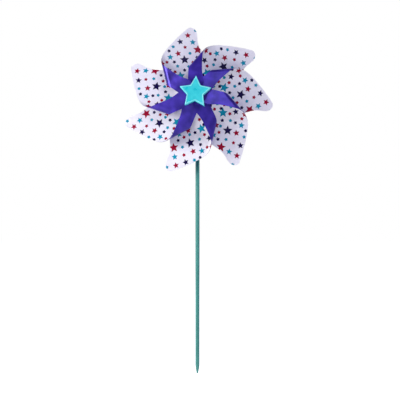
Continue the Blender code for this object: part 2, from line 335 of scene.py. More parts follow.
@dataclass(frozen=True)
class DrawnSteel:
    """Mild steel wire, drawn: bright metal with fine lines along the wire that blur its reflections."""

    name: str = "mild steel wire, drawn"
    dull: str = "#A3A39E"
    bright: str = "#C9C8C2"
    line: float = 0.3 * MM  # drawn coarser than the real die lines of about 0.02 mm
    line_length: float = 12.0 * MM
    line_depth: float = 0.01 * MM
    roughness_low: float = 0.24
    roughness_high: float = 0.38

    def make(self) -> bpy.types.Material:
        """Make the wire.

        Returns:
            Its material.
        """
        coat = Coat(self.name)
        lines = coat.pattern(self.line, self.line_length, detail=3.0)
        coat.tint(lines, self.dull, self.bright)
        coat.emboss(lines, self.line_depth)
        gloss = coat.pattern(self.line, self.line_length, 3.0, self.roughness_low, self.roughness_high)
        set_inputs(coat.shader, {"Roughness": gloss, "Metallic": 1.0})
        return coat.material


class Ink(Enum):
    """What covers a patch of a vane; the value is the patch's material slot."""

    GROUND = 0
    NAVY = 1
    CRIMSON = 2
    CYAN = 3
    BACK = 4
    EDGE = 5


class Size(Enum):
    """Sizes of the printed stars: the outer radius, and the inner radius as a share of it."""

    LARGE = (6.7 * MM, 0.46)
    MEDIUM = (4.5 * MM, 0.48)
    SMALL = (2.6 * MM, 0.66)


# ---------------------------------------------------------------- shapes


def wheel_place(centre: Vector) -> Matrix:
    """Matrix from the wheel frame to the world.

    Args:
        centre: world place of the wheel frame's origin.

    Returns:
        The matrix.
    """
    return Matrix.Translation(centre) @ Matrix.Rotation(math.pi / 2, 4, "X")


def put(name: str, mesh: bpy.types.Mesh, place: Matrix, *finishes: bpy.types.Material) -> bpy.types.Object:
    """Link a mesh as an object with its materials.

    Args:
        name: the piece's name.
        mesh: its mesh.
        place: its place in the world.
        finishes: one material for each slot.

    Returns:
        The object.
    """
    obj = bpy.data.objects.new(name, mesh)
    bpy.context.scene.collection.objects.link(obj)
    obj.matrix_world = place
    for finish in finishes:
        mesh.materials.append(finish)
    return obj


def mount(obj: bpy.types.Object, body: str, node: str) -> bpy.types.Object:
    """Set a piece on its body in place of its solid, and report it.

    Args:
        obj: the piece.
        body: body that it rides on.
        node: solid that it stands for.

    Returns:
        The piece.
    """
    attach(obj, body)
    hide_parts(node)
    LOG.info("%s: %d faces", obj.name, len(obj.data.polygons))
    return obj


def rounded(corners: list[tuple[float, float, float]], steps: int = 4) -> list[Vector]:
    """Round the corners of a closed outline, or of a profile that starts and ends with sharp ones.

    Args:
        corners: two coordinates of each, and how far from it its rounding starts.
        steps: points along each rounding, less one.

    Returns:
        The rounded outline.
    """
    sharp = [Vector(corner[:2]) for corner in corners]
    points = []
    for index, (corner, (_, _, start)) in enumerate(zip(sharp, corners)):
        if start == 0:
            points.append(corner)
            continue
        before = (sharp[index - 1] - corner).normalized() * start
        after = (sharp[(index + 1) % len(sharp)] - corner).normalized() * start
        for step in range(steps + 1):
            t = step / steps
            points.append(corner + before * (1 - t) ** 2 + after * t**2)
    return points


def lathe(name: str, profile: list[Vector], segments: int = 64) -> bpy.types.Mesh:
    """Turn a profile about Z.

    Args:
        name: name of the mesh.
        profile: points as (radius, height), going up the outside. It starts and ends on the axis, or is a
            loop off it.
        segments: faces round the axis.

    Returns:
        The mesh, shaded smooth.
    """
    bm = bmesh.new()
    rings = []
    turns = [math.tau * step / segments for step in range(segments)]
    for radius, height in profile:
        if radius < TINY:
            places = [(0.0, 0.0, height)]
        else:
            places = [(radius * math.cos(turn), radius * math.sin(turn), height) for turn in turns]
        rings.append([bm.verts.new(place) for place in places])
    pairs = list(zip(rings, rings[1:]))
    if profile[0].x > TINY:
        pairs.append((rings[-1], rings[0]))
    for low, high in pairs:
        for step in range(segments):
            following = (step + 1) % segments
            four = (low[step % len(low)], low[following % len(low)],
                    high[following % len(high)], high[step % len(high)])
            corners = list(dict.fromkeys(four))
            if len(corners) > 2:
                bm.faces.new(corners)
    bmesh.ops.recalc_face_normals(bm, faces=bm.faces)
    for face in bm.faces:
        face.smooth = True
    mesh = bpy.data.meshes.new(name)
    bm.to_mesh(mesh)
    bm.free()
    return mesh


def bore(obj: bpy.types.Object, place: Matrix, radius: float,
         start: float, end: float, segments: int) -> None:
    """Cut a round hole into a piece.

    Args:
        obj: the piece.
        place: frame that has the hole on its Z.
        radius: radius of the hole.
        start: lower end of the hole.
        end: upper end of the hole.
        segments: faces round the hole.
    """
    profile = [Vector(corner) for corner in ((0.0, start), (radius, start), (radius, end), (0.0, end))]
    cutter = put("hole_cutter", lathe("hole_cutter", profile, segments), place)
    cut = obj.modifiers.new("hole", "BOOLEAN")
    cut.operation = "DIFFERENCE"
    cut.solver = "EXACT"
    cut.object = cutter
    bpy.context.view_layer.update()
    graph = bpy.context.evaluated_depsgraph_get()
    result = bpy.data.meshes.new_from_object(obj.evaluated_get(graph))
    obj.modifiers.clear()
    obj.data = result
    bpy.data.objects.remove(cutter, do_unlink=True)


def star_points(radius: float, inner: float, turn: float) -> list[Vector]:
    """Corners of a five-pointed star, counter-clockwise.

    Args:
        radius: outer radius.
        inner: inner radius as a share of it.
        turn: direction of one point.

    Returns:
        Ten corners round the origin, starting with the point.
    """
    reach = [radius if step % 2 == 0 else radius * inner for step in range(10)]
    turns = [turn + step * math.pi / 5 for step in range(10)]
    return [Vector((r * math.cos(a), r * math.sin(a))) for r, a in zip(reach, turns)]


def cubic(first: Vector, first_handle: Vector, second_handle: Vector, second: Vector,
          steps: int) -> list[Vector]:
    """Points along a cubic curve, without its first one.

    Args:
        first: start.
        first_handle: handle of the start.
        second_handle: handle of the end.
        second: end.
        steps: number of points.

    Returns:
        The points.
    """
    corners = (first, first_handle, second_handle, second)
    points = []
    for step in range(1, steps + 1):
        t = step / steps
        weights = ((1 - t) ** 3, 3 * (1 - t) ** 2 * t, 3 * (1 - t) * t**2, t**3)
        parts = (corner * weight for corner, weight in zip(corners, weights))
        points.append(sum(parts, Vector((0.0, 0.0))))
    return points


def around(centre: Vector, radius: float, start: float, end: float, steps: int) -> list[Vector]:
    """Points round part of a circle, without its first one.

    Args:
        centre: centre of the circle.
        radius: its radius.
        start: first direction, in degrees.
        end: last direction, in degrees.
        steps: number of points.

    Returns:
        The points.
    """
    turns = [math.radians(start + (end - start) * step / steps) for step in range(1, steps + 1)]
    return [centre + Vector((radius * math.cos(turn), radius * math.sin(turn))) for turn in turns]


# ---------------------------------------------------------------- vanes


@dataclass
class Fold:
    """How the flat film curls: it wraps a narrow cone between its flat rear part and its flat flap."""

    direction: float = math.radians(9.7)
    distance: float = 37.5 * MM
    apex_back: float = 400.0 * MM
    radius: float = 7.0 * MM
    turn: float = math.radians(153.0)
    sweep: float = math.radians(7.0)
    pitch: float = math.radians(10.0)
    neck_start: float = 8.5 * MM
    neck_end: float = 15.0 * MM

    def __post_init__(self) -> None:
        """Work out the cone's axis, its two end rulings and the flat place of the front eye."""
        self.along = Vector((math.cos(self.direction), math.sin(self.direction)))
        self.across = Vector((-self.along.y, self.along.x))
        self.apex = self.along * -self.apex_back + self.across * self.distance
        self.half = self.radius * self.turn / 2 / self.apex_back
        tip_way = Vector((math.cos(self.sweep), 0.0, -math.sin(self.sweep)))
        rise = math.sin(self.pitch)
        side_way = Vector((math.sin(self.sweep) * rise, math.cos(self.pitch), math.cos(self.sweep) * rise))
        front = tip_way.cross(side_way).normalized()
        self.rear = (tip_way, front.cross(tip_way))
        start, cross_start = self.ruling(-self.half)
        self.start, self.cross_start = self.on_rear(start), self.on_rear(cross_start)
        speed = self.turn / (2 * self.half)
        self.axis = (speed * self.start + front).normalized()
        self.rate = math.sqrt(1 + speed**2)
        whole = Quaternion(self.axis, self.rate * 2 * self.half)
        self.end, self.cross_end = whole @ self.start, whole @ self.cross_start
        self.apex_place = self.on_rear(self.apex)
        self.corner, self.corner_height = self.find_corner()

    def ruling(self, angle: float) -> tuple[Vector, Vector]:
        """Directions along and across the line through the cone's point.

        Args:
            angle: from the middle of the fold, on the flat film.

        Returns:
            Two flat unit vectors.
        """
        way = self.along * math.cos(angle) + self.across * math.sin(angle)
        return way, Vector((-way.y, way.x))

    def on_rear(self, flat: Vector) -> Vector:
        """A flat vector carried onto the rear part's plane."""
        return self.rear[0] * flat.x + self.rear[1] * flat.y

    def polar(self, flat: Vector) -> tuple[float, float]:
        """Distance of a flat point from the cone's point, and its angle from the fold's middle."""
        out = flat - self.apex
        return out.length, math.atan2(out.dot(self.across), out.dot(self.along))

    def curled(self, flat: Vector) -> Vector:
        """Place a flat point on the curled vane, before its eyes are stacked.

        Args:
            flat: the point.

        Returns:
            Its place in the wheel frame.
        """
        distance, angle = self.polar(flat)
        past_start, past_end = angle + self.half, angle - self.half
        if past_start < 0:
            way = self.start * math.cos(past_start) + self.cross_start * math.sin(past_start)
        elif past_end > 0:
            way = self.end * math.cos(past_end) + self.cross_end * math.sin(past_end)
        else:
            way = Quaternion(self.axis, self.rate * past_start) @ self.start
        return self.apex_place + distance * way

    def find_corner(self) -> tuple[Vector, float]:
        """Find the flat point that the fold carries onto the axle.

        Returns:
            The front eye's flat place, and its height along the axle.
        """
        first_way, second_way = self.end, self.cross_end
        span = first_way.x * second_way.y - second_way.x * first_way.y
        first = (second_way.x * self.apex_place.y - self.apex_place.x * second_way.y) / span
        second = (self.apex_place.x * first_way.y - first_way.x * self.apex_place.y) / span
        way, _ = self.ruling(math.atan2(second, first) + self.half)
        height = (self.apex_place + first * first_way + second * second_way).z
        return self.apex + way * math.hypot(first, second), height

    def neck_share(self, offset: Vector) -> float:
        """0 on the film round an eye, 1 past its neck, smooth between them."""
        share = min(max((offset.length - self.neck_start) / (self.neck_end - self.neck_start), 0.0), 1.0)
        return share * share * (3 - 2 * share)

    def placed(self, flat: Vector, lift: float) -> Vector:
        """Place a flat point on the finished vane, with both eyes lying square to the axle.

        Args:
            flat: the point.
            lift: height of the rear eye; the front eye comes down by the same.

        Returns:
            Its place in the wheel frame.
        """
        where = self.curled(flat)
        if self.polar(flat)[1] < 0:
            return Vector((flat.x, flat.y, lift)).lerp(where, self.neck_share(flat))
        offset = flat - self.corner
        along, across = self.ruling(self.half)
        on_flap = self.end * offset.dot(along) + self.cross_end * offset.dot(across)
        normal = self.end.cross(self.cross_end)
        to_level = normal.rotation_difference(Vector((0.0, 0.0, math.copysign(1.0, normal.z))))
        level = to_level @ on_flap + Vector((0.0, 0.0, self.corner_height - lift))
        return level.lerp(where, self.neck_share(offset))


@dataclass(frozen=True)
class PrintedStar:
    """One star of the print, placed on the flat film in millimetres from the rear eye."""

    ink: Ink
    size: Size
    x: float
    y: float
    turn: float = 0.0

    def outline(self, shift: Vector) -> list[Vector]:
        """Corners of the star.

        Args:
            shift: how far the print lies off its place, in metres.

        Returns:
            Ten corners, counter-clockwise.
        """
        radius, inner = self.size.value
        centre = Vector((self.x * MM, self.y * MM)) + shift
        return [centre + corner for corner in star_points(radius, inner, math.radians(self.turn))]


STAR_PRINT = (
    PrintedStar(Ink.NAVY, Size.LARGE, 57, 12, 2),
    PrintedStar(Ink.CYAN, Size.LARGE, 34, 19, 4),
    PrintedStar(Ink.CRIMSON, Size.LARGE, 71, -7, -6),
    PrintedStar(Ink.CRIMSON, Size.MEDIUM, 92, 5, 0),
    PrintedStar(Ink.NAVY, Size.MEDIUM, 83, 16, 8),
    PrintedStar(Ink.CYAN, Size.MEDIUM, 82, -1, -5),
    PrintedStar(Ink.CRIMSON, Size.MEDIUM, 66, 20, 10),
    PrintedStar(Ink.CYAN, Size.MEDIUM, 61, 31, -4),
    PrintedStar(Ink.NAVY, Size.MEDIUM, 42, 34, 12),
    PrintedStar(Ink.CRIMSON, Size.MEDIUM, 43, 3, 5),
    PrintedStar(Ink.CYAN, Size.MEDIUM, 52, -7, 9),
    PrintedStar(Ink.CRIMSON, Size.MEDIUM, 51, 43, 0),
    PrintedStar(Ink.CYAN, Size.SMALL, 99, -6, 0),
    PrintedStar(Ink.CYAN, Size.SMALL, 76, 26, 9),
    PrintedStar(Ink.NAVY, Size.SMALL, 70, 32, 20),
    PrintedStar(Ink.CRIMSON, Size.SMALL, 75, 10, 5),
    PrintedStar(Ink.CYAN, Size.SMALL, 66, 4, 30),
    PrintedStar(Ink.NAVY, Size.SMALL, 60, -5, 14),
    PrintedStar(Ink.CRIMSON, Size.SMALL, 54, 36, 0),
    PrintedStar(Ink.NAVY, Size.SMALL, 54, 26, 25),
    PrintedStar(Ink.CRIMSON, Size.SMALL, 53, 1, 10),
    PrintedStar(Ink.CYAN, Size.SMALL, 48, 22, 0),
    PrintedStar(Ink.CYAN, Size.SMALL, 47, 7, 18),
    PrintedStar(Ink.NAVY, Size.SMALL, 42, 13, 6),
    PrintedStar(Ink.CRIMSON, Size.SMALL, 40, 26, 30),
    PrintedStar(Ink.CYAN, Size.SMALL, 33, 32, 12),
    PrintedStar(Ink.CRIMSON, Size.SMALL, 26, 26, 0),
    PrintedStar(Ink.NAVY, Size.SMALL, 28, 20, 16),
    PrintedStar(Ink.CYAN, Size.SMALL, 20, 19, 4),
    PrintedStar(Ink.CRIMSON, Size.SMALL, 24, 12, 22),
    PrintedStar(Ink.NAVY, Size.SMALL, 17, 10, 9),
    # The part that curls over and lies behind the flap
    PrintedStar(Ink.NAVY, Size.SMALL, 42, 44, 6),
    PrintedStar(Ink.CYAN, Size.SMALL, 34, 41, 18),
    PrintedStar(Ink.CRIMSON, Size.SMALL, 22, 36, 0),
    PrintedStar(Ink.NAVY, Size.SMALL, 26, 44, 30),
    PrintedStar(Ink.CRIMSON, Size.LARGE, 34, 51, 8),
    PrintedStar(Ink.CYAN, Size.SMALL, 25, 53, 12),
    PrintedStar(Ink.NAVY, Size.MEDIUM, 18, 61, 0),
    PrintedStar(Ink.CYAN, Size.MEDIUM, 15, 49, 14),
    PrintedStar(Ink.CRIMSON, Size.SMALL, 9, 57, 25),
    PrintedStar(Ink.CYAN, Size.SMALL, 8, 68, 3),
    PrintedStar(Ink.CRIMSON, Size.MEDIUM, 0, 65, 7),
    PrintedStar(Ink.NAVY, Size.SMALL, 1, 76, 11),
    PrintedStar(Ink.CYAN, Size.SMALL, -9, 69, 20),
)


@dataclass
class VaneSheet:
    """The flat film of a vane: its die-cut outline, its two eye holes and the print on it."""

    fold: Fold
    reach: float = 102.5 * MM
    eye_radius: float = 7.2 * MM
    hole_radius: float = 3.3 * MM
    hole_steps: int = 40
    rulings: int = 22
    ruling_step: float = 4.0 * MM
    ruling_back: float = 0.45  # shares of the reach that the bend lines cover behind and past the hub
    ruling_front: float = 0.95
    neck_rings: int = 7
    neck_spokes: int = 28

    def outline(self) -> list[Vector]:
        """Draw the outline, counter-clockwise from the tip. It is drawn in shares of the vane's reach.

        Returns:
            Its points, in metres.
        """
        eye = self.eye_radius / self.reach
        corner = self.fold.corner / self.reach
        points = [Vector((0.985, 0.045))]

        def curve(first: Vector, second: Vector, end: Vector, steps: int = 10) -> None:
            """Go on from the last point along a cubic curve."""
            points.extend(cubic(points[-1], Vector(first), Vector(second), Vector(end), steps))

        def by_corner(x: float, y: float) -> Vector:
            """A point near the front eye."""
            return corner + Vector((x, y))

        def on_eye(centre: Vector, bearing: float) -> Vector:
            """The point of an eye's edge in a direction given in degrees."""
            return around(centre, eye, bearing, bearing, 1)[0]

        root = Vector((0.0, 0.0))
        # Leading edge out of the tip, round the fold and along the flap, to the front eye
        curve((0.93, 0.115), (0.76, 0.305), (0.64, 0.385))
        curve((0.575, 0.425), (0.475, 0.455), (0.395, 0.505))
        curve((0.33, 0.545), by_corner(0.33, -0.12), by_corner(0.26, -0.05))
        curve(by_corner(0.21, 0.0), by_corner(0.18, 0.01), by_corner(0.150, 0.022), 5)
        curve(by_corner(0.11, 0.038), by_corner(0.085, 0.052), on_eye(corner, 45), 6)
        points.extend(around(corner, eye, 45, 265, 24))
        # Slit edge from the front eye, round the end of the fold, to the rear eye
        curve(by_corner(0.020, -0.074), by_corner(0.046, -0.094), by_corner(0.066, -0.142), 5)
        curve(by_corner(0.090, -0.191), (0.09, 0.49), (0.175, 0.415))
        curve((0.235, 0.37), (0.15, 0.19), (0.090, 0.087))
        curve((0.070, 0.062), (0.040, 0.064), on_eye(root, 75), 5)
        points.extend(around(root, eye, 75, 339, 28))
        # Trailing edge, hidden behind the next vane, then hooked towards the tip
        curve((0.073, -0.005), (0.09, 0.019), (0.123, 0.022), 5)
        curve((0.17, 0.025), (0.24, -0.10), (0.42, -0.17))
        curve((0.56, -0.21), (0.67, -0.08), (0.80, -0.075))
        curve((0.90, -0.075), (0.93, -0.085), (0.965, -0.055), 6)
        curve((1.0, -0.03), (1.01, 0.01), (0.985, 0.045), 10)
        return [point * self.reach for point in points[:-1]]

    def triangles(self, shift: Vector) -> tuple[list[Vector], list[tuple[list[int], Ink]]]:
        """Cut the flat film into triangles along the print, the holes and the lines that it bends on.

        Args:
            shift: how far the print lies off its place.

        Returns:
            The flat points, and each triangle's corners with its ink.
        """
        points: list[Vector] = []
        loops: list[list[int]] = []
        lines: list[tuple[int, int]] = []

        def add_loop(corners: list[Vector]) -> None:
            """Add a closed outline."""
            loops.append(list(range(len(points), len(points) + len(corners))))
            points.extend(corners)

        eyes = (Vector((0.0, 0.0)), self.fold.corner)
        add_loop(self.outline())
        for centre in eyes:
            add_loop(around(centre, self.hole_radius, 0, 360, self.hole_steps))
        film, *holes = range(len(loops))  # by number: the film's edge, then its eye holes
        inks = {}
        for star in STAR_PRINT:
            inks[len(loops)] = star.ink
            add_loop(star.outline(shift))
        near = self.fold.apex_back - self.ruling_back * self.reach
        far = self.fold.apex_back + self.ruling_front * self.reach
        marks = int((far - near) / self.ruling_step)
        for step in range(self.rulings + 1):
            way, _ = self.fold.ruling(self.fold.half * (2 * step / self.rulings - 1))
            for mark in range(marks + 1):
                points.append(self.fold.apex + way * (near + (far - near) * mark / marks))
            first = len(points) - marks - 1
            lines.extend((first + mark, first + mark + 1) for mark in range(marks))
        span = self.fold.neck_end - self.fold.neck_start
        for centre in eyes:
            for ring in range(self.neck_rings):
                radius = self.fold.neck_start + span * ring / (self.neck_rings - 1)
                points.extend(around(centre, radius, 0, 360, self.neck_spokes))
        flat, _, faces, _, _, origins = delaunay_2d_cdt(points, lines, loops, WHOLE_HULL, TINY, True)
        cut = []
        for face, origin in zip(faces, origins):
            if film not in origin or set(holes) & set(origin):
                continue
            covering = [inks[loop] for loop in origin if loop in inks]
            cut.append((face, covering[-1] if covering else Ink.GROUND))
        return flat, cut


@dataclass
class Skin:
    """Faces of a vane's mesh, each with what covers it and the normals at its corners."""

    faces: list[list[int]] = field(default_factory=list)
    slots: list[int] = field(default_factory=list)
    normals: list[Vector] = field(default_factory=list)

    def add(self, corners: list[int], cover: Ink, normals: list[Vector]) -> None:
        """Add a face.

        Args:
            corners: its points by number.
            cover: what covers it.
            normals: one for each corner.
        """
        self.faces.append(corners)
        self.slots.append(cover.value)
        self.normals.extend(normals)

    def mesh(self, name: str, points: list[Vector]) -> bpy.types.Mesh:
        """Make the mesh.

        Args:
            name: name of the mesh.
            points: its points.

        Returns:
            The mesh.
        """
        made = bpy.data.meshes.new(name)
        made.from_pydata(points, [], self.faces)
        made.polygons.foreach_set("material_index", self.slots)
        made.polygons.foreach_set("use_smooth", [True] * len(self.faces))
        made.normals_split_custom_set(self.normals)
        return made


@dataclass
class Vane:
    """One curled vane: its place round the hub and along it, and how far its print lies off its place."""

    number: int
    bearing: float
    lift: float
    print_shift: tuple[float, float]
    probe: float = 0.02 * MM

    def build(self, sheet: VaneSheet, place: Matrix,
              finishes: list[bpy.types.Material]) -> bpy.types.Object:
        """Curl the sheet, give it its thickness and dress it.

        Args:
            sheet: the flat film.
            place: matrix from the wheel frame to the world.
            finishes: materials in the order of Ink.

        Returns:
            The vane.
        """
        flat, cut = sheet.triangles(Vector(self.print_shift) * MM)
        used = sorted({corner for face, _ in cut for corner in face})
        index = {corner: order for order, corner in enumerate(used)}
        turn = Matrix.Rotation(self.bearing, 3, "Z")
        curled = [self.surface(sheet.fold, Vector(flat[corner])) for corner in used]
        middle = [turn @ where for where, _ in curled]
        normals = [turn @ normal for _, normal in curled]
        points = [where + normal * (FILM / 2) for where, normal in zip(middle, normals)]
        points += [where - normal * (FILM / 2) for where, normal in zip(middle, normals)]
        count = len(used)
        skin = Skin()
        edges: list[tuple[int, int]] = []
        for face, ink in cut:
            front = [index[corner] for corner in face]
            if self.area(flat, face) < 0:
                front.reverse()
            back = front[::-1]
            skin.add(front, ink, [normals[corner] for corner in front])
            skin.add([corner + count for corner in back], Ink.BACK, [-normals[corner] for corner in back])
            edges.extend(zip(front, front[1:] + front[:1]))
        rim = set(edges) - {(second, first) for first, second in edges}
        for first, second in edges:
            if (first, second) in rim:
                side = (middle[second] - middle[first]).cross(normals[first] + normals[second]).normalized()
                skin.add([second, first, first + count, second + count], Ink.EDGE, [side] * 4)
        mesh = skin.mesh(f"film_vane_{self.number}", points)
        return put(mesh.name, mesh, place, *finishes)

    def surface(self, fold: Fold, flat: Vector) -> tuple[Vector, Vector]:
        """Place a flat point and find which way the film faces there.

        Args:
            fold: how the film curls.
            flat: the point.

        Returns:
            Its place and the normal of its printed side, in the wheel frame.
        """
        where = fold.placed(flat, self.lift)
        along = fold.placed(flat + Vector((self.probe, 0.0)), self.lift) - where
        across = fold.placed(flat + Vector((0.0, self.probe)), self.lift) - where
        return where, along.cross(across).normalized()

    @staticmethod
    def area(flat: list[Vector], face: list[int]) -> float:
        """Twice a flat triangle's area, positive if its corners run counter-clockwise."""
        first, second, third = (flat[corner] for corner in face)
        return (second.x - first.x) * (third.y - first.y) - (third.x - first.x) * (second.y - first.y)


@dataclass
class VaneWheel:
    """The seven vanes, stacked eye on eye along the hub."""

    centre: Vector
    first_bearing: float = 95.5
    creep: tuple[float, ...] = (-0.6, -3.5, 3.2, 0.6, -2.0, -1.2, 4.0)
    print_shifts: tuple[tuple[float, float], ...] = (
        (-1, 0), (-1, -1), (1, -1), (0, 1), (0, 2), (0, 3), (0, -2))

    def finishes(self) -> list[bpy.types.Material]:
        """Make the film's materials.

        Returns:
            One material for each Ink, in its order.
        """
        looks = {
            Ink.GROUND: PrintedInk("white ground ink on PVC film, screen-printed", "#EFECF8", "#F6F4FB",
                                   roughness=0.40),
            Ink.NAVY: PrintedInk("navy ink on PVC film, screen-printed", "#15064C", "#0D033A"),
            Ink.CRIMSON: PrintedInk("crimson ink on PVC film, screen-printed", "#A80034", "#920028"),
            Ink.CYAN: PrintedInk("cyan ink on PVC film, screen-printed", "#009DBC", "#0089A9"),
            Ink.BACK: PearlVinyl(),
            # The cut edge is dark navy-violet: partly the film's violet core, partly painted shade for the
            # dark lines along the flaps' edges.
            Ink.EDGE: PearlVinyl("pearl violet PVC film, die-cut edge with painted shade", "#1A1060", "#241878",
                                 roughness_low=0.45, roughness_high=0.55),
        }
        return [looks[ink].make() for ink in Ink]

    def build(self) -> list[bpy.types.Object]:
        """Build every vane, and set it on the wheel in place of its solid.

        Returns:
            The vanes.
        """
        finishes = self.finishes()
        sheet = VaneSheet(Fold())
        place = wheel_place(self.centre)
        vanes = []
        for order, (creep, shift) in enumerate(zip(self.creep, self.print_shifts)):
            bearing = math.radians(self.first_bearing - order * 360 / VANE_COUNT + creep)
            lift = (order - (VANE_COUNT - 1) / 2) * EYE_PITCH
            obj = Vane(order + 1, bearing, lift, shift).build(sheet, place, finishes)
            vanes.append(mount(obj, "wheel", f"vane_{order + 1}"))
        return vanes


# ---------------------------------------------------------------- star cap


@dataclass
class StarCap:
    """Moulded star on the front of the hub: a flat face inside a rounded rim, with a socket behind."""

    centre: Vector
    back: float
    front: float
    radius: float = 21.0 * MM
    notch: float = 0.52
    turn: float = math.radians(3.0)
    edge_bevel: float = 0.25 * MM
    rim_width: float = 1.5 * MM
    rim_height: float = 0.3 * MM
    rim_round: float = 0.9 * MM
    # Inset and drop of the rim's outer rounding, as shares of rim_round
    rim_outside: tuple[tuple[float, float], ...] = ((0.0, 1.0), (0.12, 0.55), (0.42, 0.18), (0.85, 0.0))
    # How far past rim_width, and how much of rim_height lower, its inner slope runs
    rim_inside: tuple[tuple[float, float], ...] = ((-0.35 * MM, 0.0), (-0.05 * MM, 0.35), (0.15 * MM, 1.0))
    painted_highlight_start: int = 2  # the first outline whose upper side gets the painted highlight, a lighter turquoise standing in for light on the rim
    corner_round: float = 0.7 * MM
    socket_radius: float = 3.3 * MM
    socket_end: float = 1.4 * MM

    def contour(self, inset: float) -> list[Vector]:
        """Outline of the star drawn in from its edge, with its points and notches softened.

        Args:
            inset: how far in from the edge.

        Returns:
            The outline, counter-clockwise.
        """
        sharp = star_points(self.radius, self.notch, math.pi / 2 - self.turn)
        spreads = (self.half_point_angle(), self.half_notch_angle()) * 5
        corners = []
        for corner, spread in zip(sharp, spreads):
            drawn = corner - corner.normalized() * inset / math.sin(spread)
            corners.append((*drawn, self.corner_round))
        return rounded(corners)

    def half_point_angle(self) -> float:
        """Half the angle of a point of the star."""
        side = Vector((1.0, 0.0)) - Vector((math.cos(math.pi / 5), math.sin(math.pi / 5))) * self.notch
        return math.atan2(abs(side.y), side.x)

    def half_notch_angle(self) -> float:
        """Half the angle between two points, measured through the material."""
        return math.pi - self.half_point_angle() - math.pi / 5

    def layers(self) -> list[tuple[float, float]]:
        """List the outlines that the star is lofted through.

        Returns:
            Inset and height of each, from the back over the rim to the flat face.
        """
        made = [(self.edge_bevel, self.back), (0.0, self.back + self.edge_bevel)]
        for inset, drop in self.rim_outside:
            made.append((inset * self.rim_round, self.front - drop * self.rim_round))
        for past, drop in self.rim_inside:
            made.append((self.rim_width + past, self.front - drop * self.rim_height))
        return made

    def build(self) -> bpy.types.Object:
        """Loft the star from its outlines, and set it on the wheel in place of its solid.

        Returns:
            The star.
        """
        bm = bmesh.new()
        loops = []
        for inset, height in self.layers():
            loops.append([bm.verts.new((*point, height)) for point in self.contour(inset)])
        painted_highlight_faces = []
        for order, (low, high) in enumerate(zip(loops, loops[1:])):
            for first in range(len(low)):
                second = (first + 1) % len(low)
                made = bm.faces.new((low[first], low[second], high[second], high[first]))
                made.smooth = True
                if order >= self.painted_highlight_start:
                    painted_highlight_faces.append(made)
        bm.faces.new(loops[-1])
        bm.faces.new(loops[0][::-1])
        bmesh.ops.recalc_face_normals(bm, faces=bm.faces)
        # These faces take the second material: a lighter turquoise that is a painted highlight on the rim.
        for made in painted_highlight_faces:
            made.material_index = 1
        mesh = bpy.data.meshes.new("star_cap_cover")
        bm.to_mesh(mesh)
        bm.free()
        body = MouldedPlastic("turquoise ABS, moulded satin", "#28D2DD", "#44E2E8",
                              roughness_low=0.26, roughness_high=0.36, ior=1.52)
        # The rim's lighter turquoise is a painted highlight, standing in for light catching the rounded
        # rim.
        rim = MouldedPlastic("turquoise ABS, painted highlight on its rim", "#6FEDF2", "#8CF4F6",
                             roughness_low=0.22, roughness_high=0.30, ior=1.52)
        obj = put("star_cap_cover", mesh, wheel_place(self.centre), body.make(), rim.make())
        bore(obj, obj.matrix_world, self.socket_radius, self.back - MM, self.front - self.socket_end,
             segments=48)
        return mount(obj, "wheel", "star_cap")


# ---------------------------------------------------------------- hub, nail and dowel


@dataclass
class TurnedPiece:
    """A round piece of the hub or the axle: each corner has its radius, its height and its rounding."""

    name: str
    node: str
    body: str
    slot: str
    corners: list[tuple[float, float, float]]

    def build(self, centre: Vector, finish: bpy.types.Material) -> bpy.types.Object:
        """Turn the piece, and set it on its body in place of its solid.

        Args:
            centre: world place of the wheel frame's origin.
            finish: its material.

        Returns:
            The piece.
        """
        mesh = lathe(self.name, rounded(self.corners))
        return mount(put(self.name, mesh, wheel_place(centre), finish), self.body, self.node)


